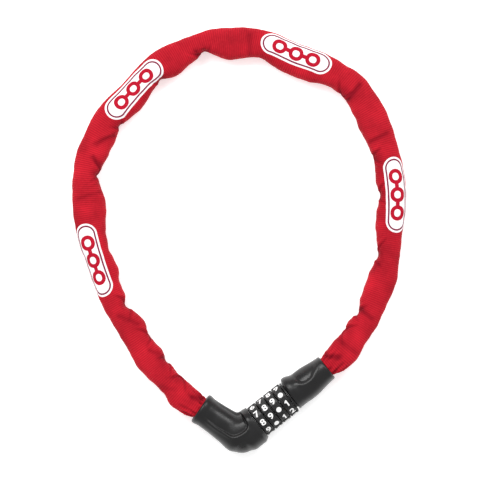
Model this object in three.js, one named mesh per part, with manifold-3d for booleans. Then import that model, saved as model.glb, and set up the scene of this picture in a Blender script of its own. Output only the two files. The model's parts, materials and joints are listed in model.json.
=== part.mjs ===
// Combination chain lock: a square-link chain in a woven sleeve, closed by an elbow-shaped lock with
// four dials and a straight plug. Millimetres, +Z up. The lock lies flat on the ground, Z = 0, with
// the origin under the middle of its outline and +Y pointing away from the lock, across the loop.
import * as THREE from 'three';
import { mergeVertices } from 'three/addons/utils/BufferGeometryUtils.js';
import Module from 'manifold-3d';

const wasm = await Module();
wasm.setup();

// --- driving dimensions ------------------------------------------------------------------------

// The lock frame: origin where the dial axis meets the elbow's rim, local X along the dials towards
// the plug, local Y towards the inside of the loop.
const RIM = new THREE.Vector3(11.7, -124.8, 12.8);
const AXIS_ANGLE = THREE.MathUtils.degToRad(38.3);
const GAP = 0.3;

const CORNER_X = -13.8;                               // where the leg's axis meets the dial axis
const LEG_ANGLE = THREE.MathUtils.degToRad(107.2);    // elbow leg, turned from the dial axis
const LEG_LENGTH = 33.3;
const LEG_RADIUS = { corner: 11.4, mouth: 10.9 };
const NECK_RADIUS = 13.5;
const RIM_RADIUS = 11.8;
const RIM_CHAMFER = 2;
const BALL_RADIUS = 12.2;
const TOP_FLAT = 13;                                  // the elbow is flattened above and below

const CORE_LEG = { length: 26.5, radius: 9 };
const CORE_NECK = { end: -2.1, radius: 10.5 };
const CORE_BALL_RADIUS = 9.7;

const DIAL = { count: 4, first: 1.1, pitch: 6.8, width: 6.55, radius: 11.6, bore: 7.8 };
const DIGITS = 10;
const GROOVE_DEPTH = 0.45;
const RING = { start: 0.1, length: 6.35, radius: 7.5, hollow: 6.3, webStart: 4.05, bore: 4.95 };
const DETENT_DEPTH = 0.4;
const KEY = { foot: 7, reach: 8.3, halfWidth: 0.8 };
const GATE_HALF_WIDTH = 1.5;

const SPINDLE = { start: -10.7, end: 29.3, radius: 4.6, bore: 3.0, boreStart: -1, slotStart: 0.2 };
const SPRING_GROOVE = { start: 0.8, end: 28.1, floor: 3.5, halfWidth: 1.2 };
const CLICK_SPRING = { low: 3.7, thickness: 0.4, halfWidth: 0.9, humpHalfLength: 1.0, humpHeight: 0.55 };
const SOCKET = { start: -11, radius: 4.9 };
const WASHER = { start: 0.3, thickness: 0.5, inner: 5.2, outer: 10.5 };
const INDEX_RING = { start: 28.35, length: 1.25, radius: 11.3, markDepth: 0.5, markHalfWidth: 0.6 };

const BOLT = { start: 0.5, end: 38, radius: 2.5 };
const TOOTH = { start: 1.0, width: 2.2, halfThickness: 1.1, reach: 6 };
const BOLT_PIN = { x: 34.5, radius: 1.2, halfLength: 8 };

const PLUG = { start: 29.9, end: 61.2, radius: 11.9, straight: 7, mouthRadius: 9.2 };
const PLUG_EDGE = { length: 1.5, startInset: 0.7, mouthInset: 0.9 };
const PLUG_MOUTH_STRETCH = 1.22;                      // how much taller than wide the mouth is
const PLUG_CORE = { start: 30, end: 56.2, halfWidth: 7.2, halfHeight: 9.1 };

const LINK_COUNT = 29;
const HALF_PITCH = 11.25;                             // half the distance between two links' middles
const BAR = 4;                                        // square bar of the chain
const LINK_INNER_RADIUS = 3.5;
const LINK_PLAY = 1.2;                                // how far two links can slide apart
const CHAIN_PIN = { radius: 2.4, alongLeg: 16.5, alongPlug: 47, inset: 0.5 };

const SLEEVE = {
  halfWidth: 10.5,
  halfHeight: 9.2,
  wall: 0.8,
  tuck: 3,                                            // how far the fabric reaches into a mouth
  flare: 8,                                           // length over which it widens from a mouth
  flareRings: 3,
  mouthHalfHeight: 9.1,
  elbowMouthHalfWidth: 7.4,
  plugMouthHalfWidth: 6.5,
  sides: 16,
  rings: 44,                                          // between the two flares
};
const CHAIN_HEIGHT = 9.3;                             // chain's centre line, lying on the ground
const DROP = { start: 9, end: 52 };                   // stretch over which it comes down from a mouth

// Plan view of the chain's centre line between the two mouths, from the elbow round to the plug.
const CHAIN_PLAN = [
  [-44.5, -99.5], [-57, -85], [-68, -70], [-79, -52], [-88, -35], [-95, -16], [-100.5, 4],
  [-103.5, 26], [-102.5, 48], [-95.5, 69], [-80.5, 90.5], [-62, 110.5], [-41, 125.5], [-20.5, 133],
  [0, 134.8], [20, 131.5], [39, 123.5], [56, 117], [71.5, 107], [84.5, 93.5], [93.5, 77],
  [100.5, 53], [103.6, 28], [102.5, 4], [98.5, -19], [92.5, -39], [83, -58.5], [71.5, -75.5],
];

// --- materials ---------------------------------------------------------------------------------

const material = (color, roughness, metalness = 0) =>
  new THREE.MeshStandardMaterial({ color, roughness, metalness });
const BLACK_PLASTIC = material(0x232324, 0.45);
const DIAL_PLASTIC = material(0x151516, 0.5);
const DIE_CAST = material(0x9a9c9e, 0.5, 0.8);
const STEEL = material(0xb4b6b8, 0.35, 1);
const CHAIN_STEEL = material(0x8f9296, 0.4, 1);
const BRASS = material(0xb5964e, 0.4, 1);
const RED_FABRIC = material(0xc51f2e, 0.9);

// --- solids ------------------------------------------------------------------------------------

// A closed geometry as a solid that can be cut and joined.
function solidOf(geometry) {
  const bare = geometry.clone();
  bare.deleteAttribute('normal');
  bare.deleteAttribute('uv');
  const welded = mergeVertices(bare, 1e-4);
  return new wasm.Manifold(new wasm.Mesh({
    numProp: 3,
    vertProperties: new Float32Array(welded.attributes.position.array),
    triVerts: new Uint32Array(welded.index.array),
  }));
}

function geometryOf(solid) {
  const { vertProperties, triVerts } = solid.getMesh();
  const geometry = new THREE.BufferGeometry();
  geometry.setAttribute('position', new THREE.BufferAttribute(vertProperties, 3));
  geometry.setIndex(new THREE.BufferAttribute(triVerts, 1));
  geometry.computeVertexNormals();
  return geometry;
}

function named(name, shape, meshMaterial) {
  const geometry = shape.isBufferGeometry ? shape : geometryOf(shape);
  const mesh = new THREE.Mesh(geometry, meshMaterial);
  mesh.name = name;
  return mesh;
}

// A round bar along local X.
function barX(x0, x1, radius0, radius1 = radius0, sides = 24) {
  const geometry = new THREE.CylinderGeometry(radius1, radius0, x1 - x0, sides);
  geometry.rotateZ(-Math.PI / 2);
  geometry.translate((x0 + x1) / 2, 0, 0);
  return geometry;
}

// A round bar across the lock at x, along Y or along Z.
function crossBar(x, axis, radius, halfLength, sides = 16) {
  const geometry = new THREE.CylinderGeometry(radius, radius, 2 * halfLength, sides);
  if (axis === 'z') {
    geometry.rotateX(Math.PI / 2);
  }
  geometry.translate(x, 0, 0);
  return geometry;
}

function block(x0, x1, y0, y1, halfHeight) {
  const geometry = new THREE.BoxGeometry(x1 - x0, y1 - y0, 2 * halfHeight);
  geometry.translate((x0 + x1) / 2, (y0 + y1) / 2, 0);
  return geometry;
}

// A flat outline, drawn looking along the dial axis, made into a prism along local X.
// The outline's Y is local Y, and its X is local -Z.
function prismX(shape, x0, length) {
  const geometry = new THREE.ExtrudeGeometry(shape, {
    depth: length,
    bevelEnabled: false,
    curveSegments: 12,
  });
  geometry.rotateY(Math.PI / 2);
  geometry.translate(x0, 0, 0);
  return geometry;
}

// A closed outline with `count` corners, at the radius that radiusAt gives each of them.
function roundOutline(count, radiusAt, PathClass = THREE.Shape) {
  const points = [];
  for (let i = 0; i < count; i += 1) {
    const angle = (2 * Math.PI * i) / count;
    const radius = radiusAt(i);
    points.push(new THREE.Vector2(radius * Math.cos(angle), radius * Math.sin(angle)));
  }
  return new PathClass(points);
}

function ringShape(outer, inner, count = 40) {
  const shape = roundOutline(count, () => outer);
  shape.holes.push(roundOutline(count, () => inner, THREE.Path));
  return shape;
}

// Turns a geometry built along X from the corner onto the elbow's leg.
function onLeg(geometry) {
  geometry.rotateZ(LEG_ANGLE);
  geometry.translate(CORNER_X, 0, 0);
  return geometry;
}

function ballAtCorner(radius) {
  const geometry = new THREE.SphereGeometry(radius, 24, 12);
  geometry.rotateX(Math.PI / 2);
  geometry.translate(CORNER_X, 0, 0);
  return geometry;
}

// --- elbow -------------------------------------------------------------------------------------

function elbowOuter() {
  const leg = solidOf(onLeg(barX(0, LEG_LENGTH, LEG_RADIUS.corner, LEG_RADIUS.mouth)));
  const neck = solidOf(barX(CORNER_X, -RIM_CHAMFER, NECK_RADIUS));
  const chamfer = solidOf(barX(-RIM_CHAMFER, 0, NECK_RADIUS, RIM_RADIUS));
  const slab = new THREE.BoxGeometry(200, 200, RIM.z + TOP_FLAT);
  slab.translate(0, 0, (TOP_FLAT - RIM.z) / 2);
  return leg.add(solidOf(ballAtCorner(BALL_RADIUS))).add(neck).add(chamfer).intersect(solidOf(slab));
}

function elbowCavity() {
  const leg = solidOf(onLeg(barX(-GAP, LEG_LENGTH + 1, CORE_LEG.radius + GAP)));
  const ball = solidOf(ballAtCorner(CORE_BALL_RADIUS + GAP));
  const neck = solidOf(barX(CORNER_X - GAP, CORE_NECK.end + GAP, CORE_NECK.radius + GAP));
  const spindleHole = solidOf(barX(CORE_NECK.end, 1, SOCKET.radius));
  return leg.add(ball).add(neck).add(spindleHole);
}

// The cover is two half shells that meet at the height of the axes.
function elbowCovers() {
  const shell = elbowOuter().subtract(elbowCavity());
  const reach = 100;
  const half = new THREE.BoxGeometry(2 * reach, 2 * reach, reach);
  const above = half.clone().translate(0, 0, (reach + GAP) / 2);
  const below = half.clone().translate(0, 0, -(reach + GAP) / 2);
  return [
    named('elbow_cover_upper', shell.intersect(solidOf(above)), BLACK_PLASTIC),
    named('elbow_cover_lower', shell.intersect(solidOf(below)), BLACK_PLASTIC),
  ];
}

// Slot for an upright chain link whose end loop sits round a pin at distance pinAt.
function linkSlot(pinAt, end) {
  const clearance = 0.4;
  const outerRadius = LINK_INNER_RADIUS + BAR;
  const halfWidth = BAR / 2 + GAP;
  return block(pinAt - outerRadius - 2 * clearance, end, -halfWidth, halfWidth, outerRadius + clearance);
}

function elbowCore() {
  const leg = solidOf(onLeg(barX(0, CORE_LEG.length, CORE_LEG.radius)));
  const ball = solidOf(ballAtCorner(CORE_BALL_RADIUS));
  const neck = solidOf(barX(CORNER_X, CORE_NECK.end, CORE_NECK.radius));
  const socket = solidOf(barX(SOCKET.start, 0, SOCKET.radius));
  const slot = solidOf(onLeg(linkSlot(CHAIN_PIN.alongLeg, CORE_LEG.length + 1)));
  const pinHole = solidOf(onLeg(crossBar(CHAIN_PIN.alongLeg, 'y', CHAIN_PIN.radius + GAP, 20)));
  const core = leg.add(ball).add(neck).subtract(socket).subtract(slot).subtract(pinHole);
  return named('elbow_core', core, DIE_CAST);
}

function elbowChainPin() {
  const halfLength = CORE_LEG.radius - CHAIN_PIN.inset;
  return named(
    'elbow_chain_pin',
    onLeg(crossBar(CHAIN_PIN.alongLeg, 'y', CHAIN_PIN.radius, halfLength)),
    STEEL,
  );
}

// --- dials and their works ---------------------------------------------------------------------

// Hollow shaft with a slot for the bolt's teeth on its -Y side and a groove for the click spring.
function spindle() {
  const past = SPINDLE.end + 1;
  const tube = solidOf(barX(SPINDLE.start, SPINDLE.end, SPINDLE.radius));
  const bore = solidOf(barX(SPINDLE.boreStart, past, SPINDLE.bore));
  const outside = SPINDLE.radius + 1;
  const slot = solidOf(block(SPINDLE.slotStart, past, -outside, 0, TOOTH.halfThickness + GAP));
  const { start, end, floor, halfWidth } = SPRING_GROOVE;
  const groove = solidOf(block(start, end, floor, outside, halfWidth));
  return named('spindle_tube', tube.subtract(bore).subtract(slot).subtract(groove), STEEL);
}

// A waved leaf spring along the spindle, with one hump under each gate ring.
function clickSpring() {
  const { low, thickness, halfWidth, humpHalfLength, humpHeight } = CLICK_SPRING;
  const lower = [[SPRING_GROOVE.start + GAP, low]];
  for (let k = 0; k < DIAL.count; k += 1) {
    const webMiddle = DIAL.first + k * DIAL.pitch + (RING.webStart + RING.start + RING.length) / 2;
    lower.push([webMiddle - humpHalfLength, low]);
    lower.push([webMiddle, low + humpHeight]);
    lower.push([webMiddle + humpHalfLength, low]);
  }
  lower.push([SPRING_GROOVE.end - GAP, low]);
  const upper = lower.map(([x, y]) => [x, y + thickness]).reverse();
  const shape = new THREE.Shape([...lower, ...upper].map(([x, y]) => new THREE.Vector2(x, y)));
  const geometry = new THREE.ExtrudeGeometry(shape, { depth: 2 * halfWidth, bevelEnabled: false });
  geometry.translate(0, 0, -halfWidth);
  return named('click_spring', geometry, STEEL);
}

// A number wheel: ten flat lands for the digits with a finger groove between each two.
function dial(index) {
  const x0 = DIAL.first + index * DIAL.pitch;
  const cornersPerDigit = 4;
  const grooveCorner = 2;
  const shape = roundOutline(
    DIGITS * cornersPerDigit,
    (i) => DIAL.radius - (i % cornersPerDigit === grooveCorner ? GROOVE_DEPTH : 0),
  );
  shape.holes.push(roundOutline(DIGITS * cornersPerDigit, () => DIAL.bore, THREE.Path));
  const keyway = block(x0 - 1, x0 + DIAL.width + 1, KEY.foot, KEY.reach + GAP, KEY.halfWidth + GAP);
  const body = solidOf(prismX(shape, x0, DIAL.width)).subtract(solidOf(keyway));
  return named(`dial_${index + 1}`, body, DIAL_PLASTIC);
}

// The ring inside a dial. Its web stops the bolt's tooth unless the gate faces the tooth.
function gateRing(index) {
  const cell = DIAL.first + index * DIAL.pitch;
  const x0 = cell + RING.start;
  const x1 = x0 + RING.length;
  const detentSpacing = 4;
  const shape = roundOutline(DIGITS * detentSpacing, () => RING.radius);
  shape.holes.push(roundOutline(
    DIGITS * detentSpacing,
    (i) => RING.bore + (i % detentSpacing === 0 ? DETENT_DEPTH : 0),
    THREE.Path,
  ));
  const hollow = solidOf(barX(x0 - 1, cell + RING.webStart, RING.hollow, RING.hollow, 40));
  const gate = solidOf(block(x0 - 1, x1 + 1, -TOOTH.reach - GAP, 0, GATE_HALF_WIDTH));
  const key = solidOf(block(x0, x1, KEY.foot, KEY.reach, KEY.halfWidth));
  const ring = solidOf(prismX(shape, x0, RING.length)).subtract(hollow).subtract(gate).add(key);
  return named(`gate_ring_${index + 1}`, ring, BRASS);
}

function springWasher() {
  const shape = ringShape(WASHER.outer, WASHER.inner);
  return named('spring_washer', prismX(shape, WASHER.start, WASHER.thickness), STEEL);
}

// The end ring that keeps the dials on the spindle and carries the mark they are read against.
function indexRing() {
  const { start, length, radius, markDepth, markHalfWidth } = INDEX_RING;
  const past = start + length + 1;
  const ring = solidOf(prismX(ringShape(radius, SOCKET.radius), start, length));
  const notch = solidOf(block(start - 1, past, -TOOTH.reach - GAP, 0, GATE_HALF_WIDTH));
  const mark = solidOf(block(start - 1, past, -radius - 1, -radius + markDepth, markHalfWidth));
  return named('index_ring', ring.subtract(notch).subtract(mark), BLACK_PLASTIC);
}

// --- plug --------------------------------------------------------------------------------------

function bolt() {
  let body = solidOf(barX(BOLT.start, BOLT.end, BOLT.radius, BOLT.radius, 16));
  for (let k = 0; k < DIAL.count; k += 1) {
    const x0 = DIAL.first + k * DIAL.pitch + TOOTH.start;
    body = body.add(solidOf(block(x0, x0 + TOOTH.width, -TOOTH.reach, -1.5, TOOTH.halfThickness)));
  }
  const pinHole = solidOf(crossBar(BOLT_PIN.x, 'z', BOLT_PIN.radius + GAP, 10));
  return named('bolt', body.subtract(pinHole), STEEL);
}

function boltPin() {
  return named('bolt_pin', crossBar(BOLT_PIN.x, 'z', BOLT_PIN.radius, BOLT_PIN.halfLength, 12), STEEL);
}

// An oval bar along local X, `halfWidth` across and `halfHeight` up and down.
function ovalBar(x0, x1, halfWidth, halfHeight) {
  const geometry = barX(x0, x1, halfWidth);
  geometry.scale(1, 1, halfHeight / halfWidth);
  return geometry;
}

function plugCore() {
  const { start, end, halfWidth, halfHeight } = PLUG_CORE;
  const body = solidOf(ovalBar(start, end, halfWidth, halfHeight));
  const boltBore = solidOf(barX(start - 1, BOLT.end + GAP, BOLT.radius + GAP, BOLT.radius + GAP, 16));
  const pinHole = solidOf(crossBar(BOLT_PIN.x, 'z', BOLT_PIN.radius + GAP, 10));
  const slot = solidOf(linkSlot(CHAIN_PIN.alongPlug, end + 1));
  const chainPinHole = solidOf(crossBar(CHAIN_PIN.alongPlug, 'y', CHAIN_PIN.radius + GAP, 20));
  const core = body.subtract(boltBore).subtract(pinHole).subtract(slot).subtract(chainPinHole);
  return named('plug_core', core, DIE_CAST);
}

// A tapered round shell that grows taller than wide towards the chain.
function plugCover() {
  const { start, end, radius, straight, mouthRadius } = PLUG;
  const { length, startInset, mouthInset } = PLUG_EDGE;
  const profile = [
    [0, start], [radius - startInset, start], [radius, start + length], [radius, start + straight],
    [mouthRadius, end - length], [mouthRadius - mouthInset, end], [0, end],
  ];
  const points = profile.map(([r, x]) => new THREE.Vector2(r, x));
  const geometry = new THREE.LatheGeometry(points, 28);
  geometry.rotateZ(-Math.PI / 2);
  const position = geometry.attributes.position;
  for (let i = 0; i < position.count; i += 1) {
    const along = (position.getX(i) - start) / (end - start);
    position.setZ(i, position.getZ(i) * THREE.MathUtils.lerp(1, PLUG_MOUTH_STRETCH, along));
  }
  const { halfWidth, halfHeight } = PLUG_CORE;
  const cavity = solidOf(ovalBar(start - 1, end + 1, halfWidth + GAP, halfHeight + GAP));
  return named('plug_cover', solidOf(geometry).subtract(cavity), BLACK_PLASTIC);
}

function plugChainPin() {
  const halfLength = PLUG_CORE.halfWidth - CHAIN_PIN.inset;
  return named(
    'plug_chain_pin',
    crossBar(CHAIN_PIN.alongPlug, 'y', CHAIN_PIN.radius, halfLength),
    STEEL,
  );
}

// --- chain and sleeve --------------------------------------------------------------------------

// A point on the elbow's leg axis or on the dial axis, in the part's frame.
function fromLock(x, y) {
  return new THREE.Vector3(x, y, 0).applyAxisAngle(new THREE.Vector3(0, 0, 1), AXIS_ANGLE).add(RIM);
}

function onLegAxis(distance) {
  return fromLock(CORNER_X + distance * Math.cos(LEG_ANGLE), distance * Math.sin(LEG_ANGLE));
}

function onPlugAxis(x) {
  return fromLock(x, 0);
}

const ELBOW_MOUTH = onLegAxis(LEG_LENGTH);
const PLUG_MOUTH = onPlugAxis(PLUG.end);

// The chain comes down from the height of each mouth to lie on the ground.
function planPoint([x, y]) {
  const point = new THREE.Vector3(x, y, RIM.z);
  const distance = Math.min(point.distanceTo(ELBOW_MOUTH), point.distanceTo(PLUG_MOUTH));
  const drop = THREE.MathUtils.smoothstep(distance, DROP.start, DROP.end);
  point.z = THREE.MathUtils.lerp(RIM.z, CHAIN_HEIGHT, drop);
  return point;
}

// Where the round ends of a link are centred, for links that touch to sit a pitch apart.
const contactDepth = Math.sqrt(LINK_INNER_RADIUS ** 2 - (BAR / 2) ** 2);
const LINK_ARC_CENTRE = HALF_PITCH + LINK_PLAY / 2 - contactDepth;

const firstJoint = onLegAxis(CHAIN_PIN.alongLeg + LINK_ARC_CENTRE + HALF_PITCH);
const lastJoint = onPlugAxis(CHAIN_PIN.alongPlug + LINK_ARC_CENTRE + HALF_PITCH);
const freePlan = CHAIN_PLAN.map(planPoint);
const chainRoute = new THREE.CatmullRomCurve3([firstJoint, ...freePlan, lastJoint]);
const sleeveRoute = new THREE.CatmullRomCurve3([
  onLegAxis(LEG_LENGTH - SLEEVE.tuck), ELBOW_MOUTH, firstJoint,
  ...freePlan,
  lastJoint, PLUG_MOUTH, onPlugAxis(PLUG.end - SLEEVE.tuck),
]);

function stadium(radius, PathClass) {
  const path = new PathClass();
  path.absarc(LINK_ARC_CENTRE, 0, radius, -Math.PI / 2, Math.PI / 2, false);
  path.absarc(-LINK_ARC_CENTRE, 0, radius, Math.PI / 2, (3 * Math.PI) / 2, false);
  path.closePath();
  return path;
}

function linkGeometry() {
  const shape = stadium(LINK_INNER_RADIUS + BAR, THREE.Shape);
  shape.holes.push(stadium(LINK_INNER_RADIUS, THREE.Path));
  const geometry = new THREE.ExtrudeGeometry(shape, {
    depth: BAR,
    bevelEnabled: false,
    curveSegments: 3,
  });
  geometry.translate(0, 0, -BAR / 2);
  return geometry;
}

// A link lies along the line from one joint to the next. Odd links stand upright, even ones lie flat.
function link(number, from, to) {
  const mesh = named(`link_${String(number).padStart(2, '0')}`, linkGeometry(), CHAIN_STEEL);
  const along = to.clone().sub(from).normalize();
  const side = new THREE.Vector3(0, 0, 1).cross(along).normalize();
  const up = along.clone().cross(side);
  const upright = number % 2 === 1;
  const basis = upright
    ? new THREE.Matrix4().makeBasis(along, up, side.clone().negate())
    : new THREE.Matrix4().makeBasis(along, side, up);
  mesh.quaternion.setFromRotationMatrix(basis);
  mesh.position.copy(from).add(to).multiplyScalar(0.5);
  return mesh;
}

function chain() {
  const innerLinks = LINK_COUNT - 2;
  const joints = Array.from({ length: innerLinks + 1 }, (_, i) => chainRoute.getPointAt(i / innerLinks));
  const elbowEnd = onLegAxis(CHAIN_PIN.alongLeg + LINK_ARC_CENTRE - HALF_PITCH);
  const plugEnd = onPlugAxis(CHAIN_PIN.alongPlug + LINK_ARC_CENTRE - HALF_PITCH);
  const stops = [elbowEnd, ...joints, plugEnd];
  return Array.from({ length: LINK_COUNT }, (_, i) => link(i + 1, stops[i], stops[i + 1]));
}

function sleeveHalfWidth(distanceFromMouth, mouthHalfWidth) {
  const opened = THREE.MathUtils.smoothstep(distanceFromMouth, 0, SLEEVE.flare);
  return THREE.MathUtils.lerp(mouthHalfWidth, SLEEVE.halfWidth, opened);
}

// Half width and half height of the sleeve at a distance along its route.
function sleeveSection(distance, length) {
  const fromElbow = distance - SLEEVE.tuck;
  const fromPlug = length - distance - SLEEVE.tuck;
  const opened = THREE.MathUtils.smoothstep(Math.min(fromElbow, fromPlug), 0, SLEEVE.flare);
  return {
    halfWidth: Math.min(
      sleeveHalfWidth(fromElbow, SLEEVE.elbowMouthHalfWidth),
      sleeveHalfWidth(fromPlug, SLEEVE.plugMouthHalfWidth),
    ),
    halfHeight: THREE.MathUtils.lerp(SLEEVE.mouthHalfHeight, SLEEVE.halfHeight, opened),
  };
}

// Distances along the sleeve of its rings of points: close together where it widens from a mouth.
function sleeveStations(length) {
  const flareEnd = SLEEVE.tuck + SLEEVE.flare;
  const stations = [0];
  for (let i = 0; i < SLEEVE.flareRings; i += 1) {
    stations.push(SLEEVE.tuck + (SLEEVE.flare * i) / SLEEVE.flareRings);
  }
  for (let i = 0; i <= SLEEVE.rings; i += 1) {
    stations.push(THREE.MathUtils.lerp(flareEnd, length - flareEnd, i / SLEEVE.rings));
  }
  for (let i = SLEEVE.flareRings - 1; i >= 0; i -= 1) {
    stations.push(length - SLEEVE.tuck - (SLEEVE.flare * i) / SLEEVE.flareRings);
  }
  stations.push(length);
  return stations;
}

// The woven sleeve: a straight ring of unit size, open at both ends, bent along its route.
function sleeve() {
  sleeveRoute.arcLengthDivisions = 2000;
  const length = sleeveRoute.getLength();
  const outerRadius = 1;
  const innerRadius = 0.5;
  const stations = sleeveStations(length);
  const outer = stations.map((distance) => new THREE.Vector2(outerRadius, distance));
  const inner = stations.map((distance) => new THREE.Vector2(innerRadius, distance)).reverse();
  const geometry = new THREE.LatheGeometry([...outer, ...inner, outer[0].clone()], SLEEVE.sides);
  const position = geometry.attributes.position;
  for (let i = 0; i < position.count; i += 1) {
    const distance = position.getY(i);
    const t = THREE.MathUtils.clamp(distance / length, 0, 1);
    const radius = Math.hypot(position.getX(i), position.getZ(i));
    const inset = radius > 0.75 ? 0 : SLEEVE.wall;
    const { halfWidth, halfHeight } = sleeveSection(distance, length);
    const tangent = sleeveRoute.getTangentAt(t);
    const side = new THREE.Vector3(0, 0, 1).cross(tangent).normalize();
    const up = tangent.clone().cross(side);
    const point = sleeveRoute.getPointAt(t);
    point.addScaledVector(side, (position.getX(i) / radius) * (halfWidth - inset));
    point.addScaledVector(up, (-position.getZ(i) / radius) * (halfHeight - inset));
    position.setXYZ(i, point.x, point.y, point.z);
  }
  geometry.computeVertexNormals();
  return named('sleeve', geometry, RED_FABRIC);
}

// --- assembly ----------------------------------------------------------------------------------

const lock = new THREE.Group();
lock.position.copy(RIM);
lock.rotation.z = AXIS_ANGLE;
lock.add(...elbowCovers(), elbowCore(), elbowChainPin());
lock.add(spindle(), clickSpring(), springWasher(), indexRing());
for (let k = 0; k < DIAL.count; k += 1) {
  lock.add(dial(k), gateRing(k));
}
lock.add(bolt(), boltPin(), plugCore(), plugCover(), plugChainPin());

const chainLock = new THREE.Group();
chainLock.add(lock, ...chain(), sleeve());

export default chainLock;
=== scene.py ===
"""Looks for the combination chain lock: moulded shells, printed dials and the woven sleeve.

Shapes are worked out in millimetres, most of them in the lock's own frame (x along the dials towards
the plug, y towards the inside of the loop, z up), and become metres when a mesh is made.
"""

import json
import math

import bmesh
import bpy
import numpy as np
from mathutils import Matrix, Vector


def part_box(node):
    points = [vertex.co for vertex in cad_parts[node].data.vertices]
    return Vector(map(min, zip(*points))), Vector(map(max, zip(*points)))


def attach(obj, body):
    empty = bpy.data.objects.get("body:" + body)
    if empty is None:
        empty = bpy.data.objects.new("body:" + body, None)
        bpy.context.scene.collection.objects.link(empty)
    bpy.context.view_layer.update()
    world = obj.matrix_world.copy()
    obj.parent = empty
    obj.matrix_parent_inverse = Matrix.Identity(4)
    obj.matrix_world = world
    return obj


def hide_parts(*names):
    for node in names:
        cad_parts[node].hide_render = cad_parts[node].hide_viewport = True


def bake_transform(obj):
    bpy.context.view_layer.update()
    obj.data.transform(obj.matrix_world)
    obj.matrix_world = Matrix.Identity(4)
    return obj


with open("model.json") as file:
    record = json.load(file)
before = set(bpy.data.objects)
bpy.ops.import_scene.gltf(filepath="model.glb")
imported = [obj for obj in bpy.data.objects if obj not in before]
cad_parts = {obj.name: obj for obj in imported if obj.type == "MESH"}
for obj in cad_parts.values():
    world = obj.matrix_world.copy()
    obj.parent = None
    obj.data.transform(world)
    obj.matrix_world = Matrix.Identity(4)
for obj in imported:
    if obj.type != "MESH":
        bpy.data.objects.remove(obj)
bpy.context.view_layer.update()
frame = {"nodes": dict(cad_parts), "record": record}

MM = 0.001

# --- places and sizes shared with the CAD, in millimetres ---

RIM = np.array([11.7, -124.8, 12.8])  # where the dial axis meets the elbow's rim
AXIS = math.radians(38.3)  # the dial axis, turned from +X
CORNER_X = -13.8  # where the elbow's leg meets the dial axis
LEG = math.radians(107.2)  # the leg, turned from the dial axis
LEG_LENGTH = 33.3
GROUND = -RIM[2]  # the ground, in the lock's frame
PLUG_START, PLUG_END = 29.9, 61.2
DIAL = {"count": 4, "first": 1.1, "pitch": 6.8, "width": 6.55, "radius": 11.45, "bore": 7.8}
INDEX_RING = {"start": 28.35, "length": 1.25, "radius": 11.3, "bore": 4.9}
JOINT_ON_LEG, JOINT_ON_PLUG = 36.73, 67.23  # first and last free joint of the chain
TUCK = 3  # how far the sleeve reaches into each mouth
FLARE = 9  # length over which it widens from a mouth
CHAIN_HEIGHT = 9.3
DROP = (9, 52)  # distances from a mouth where the chain comes down
CHAIN_PLAN = [
    (-44.5, -99.5), (-57, -85), (-68, -70), (-79, -52), (-88, -35), (-95, -16), (-100.5, 4),
    (-103.5, 26), (-102.5, 48), (-95.5, 69), (-80.5, 90.5), (-62, 110.5), (-41, 125.5), (-20.5, 133),
    (0, 134.8), (20, 131.5), (39, 123.5), (56, 117), (71.5, 107), (84.5, 93.5), (93.5, 77),
    (100.5, 53), (103.6, 28), (102.5, 4), (98.5, -19), (92.5, -39), (83, -58.5), (71.5, -75.5),
]
LINK_END = {"arc_centre": 8.98, "outer": 7.5}  # round end of a link
LINK_HALF_BAR = 2
LINK_COUNT = 29

# --- small maths ---


def ease(value, low, high):
    """Smooth step from 0 at low to 1 at high."""
    t = np.clip((np.asarray(value, float) - low) / (high - low), 0, 1)
    return t * t * (3 - 2 * t)


def bump(value, middle, reach):
    """A bell of height 1 round middle."""
    return np.exp(-(((value - middle) / reach) ** 2))


def smooth_min(a, b, k):
    h = np.clip(0.5 + 0.5 * (b - a) / k, 0, 1)
    return b * (1 - h) + a * h - k * h * (1 - h)


def smooth_max(a, b, k):
    return -smooth_min(-a, -b, k)


def oval(a, b, power=2.0):
    """Distance-like radius of an oval or, with a higher power, of a squarer section."""
    return (np.abs(a) ** power + np.abs(b) ** power) ** (1 / power)


def outline_distance(x, y, outline):
    """Signed distance to a closed outline in the plane, negative inside it."""
    nearest = np.full(np.shape(x), np.inf)
    inside = np.zeros(np.shape(x), bool)
    for (ax, ay), (bx, by) in zip(outline, outline[1:] + outline[:1]):
        ex, ey = bx - ax, by - ay
        t = np.clip(((x - ax) * ex + (y - ay) * ey) / (ex * ex + ey * ey), 0, 1)
        nearest = np.minimum(nearest, np.hypot(x - ax - t * ex, y - ay - t * ey))
        crosses = (ay > y) != (by > y)
        slope = ex / (ey if ey else 1e-9)
        inside ^= crosses & (x < ax + (y - ay) * slope)
    return np.where(inside, -nearest, nearest)


def spline(points, per_span):
    """A centripetal Catmull-Rom curve through the points, as per_span points between two."""
    p = np.array(points, float)
    p = np.vstack([2 * p[0] - p[1], p, 2 * p[-1] - p[-2]])
    found = []
    for p0, p1, p2, p3 in zip(p, p[1:], p[2:], p[3:]):
        t1 = np.linalg.norm(p1 - p0) ** 0.5
        t2 = t1 + np.linalg.norm(p2 - p1) ** 0.5
        t3 = t2 + np.linalg.norm(p3 - p2) ** 0.5
        t = np.linspace(t1, t2, per_span, endpoint=False)[:, None]
        a1 = p0 + (p1 - p0) * t / t1
        a2 = p1 + (p2 - p1) * (t - t1) / (t2 - t1)
        a3 = p2 + (p3 - p2) * (t - t2) / (t3 - t2)
        b1 = a1 + (a2 - a1) * t / t2
        b2 = a2 + (a3 - a2) * (t - t1) / (t3 - t1)
        found.append(b1 + (b2 - b1) * (t - t1) / (t2 - t1))
    return np.vstack([*found, p[-2]])


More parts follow.
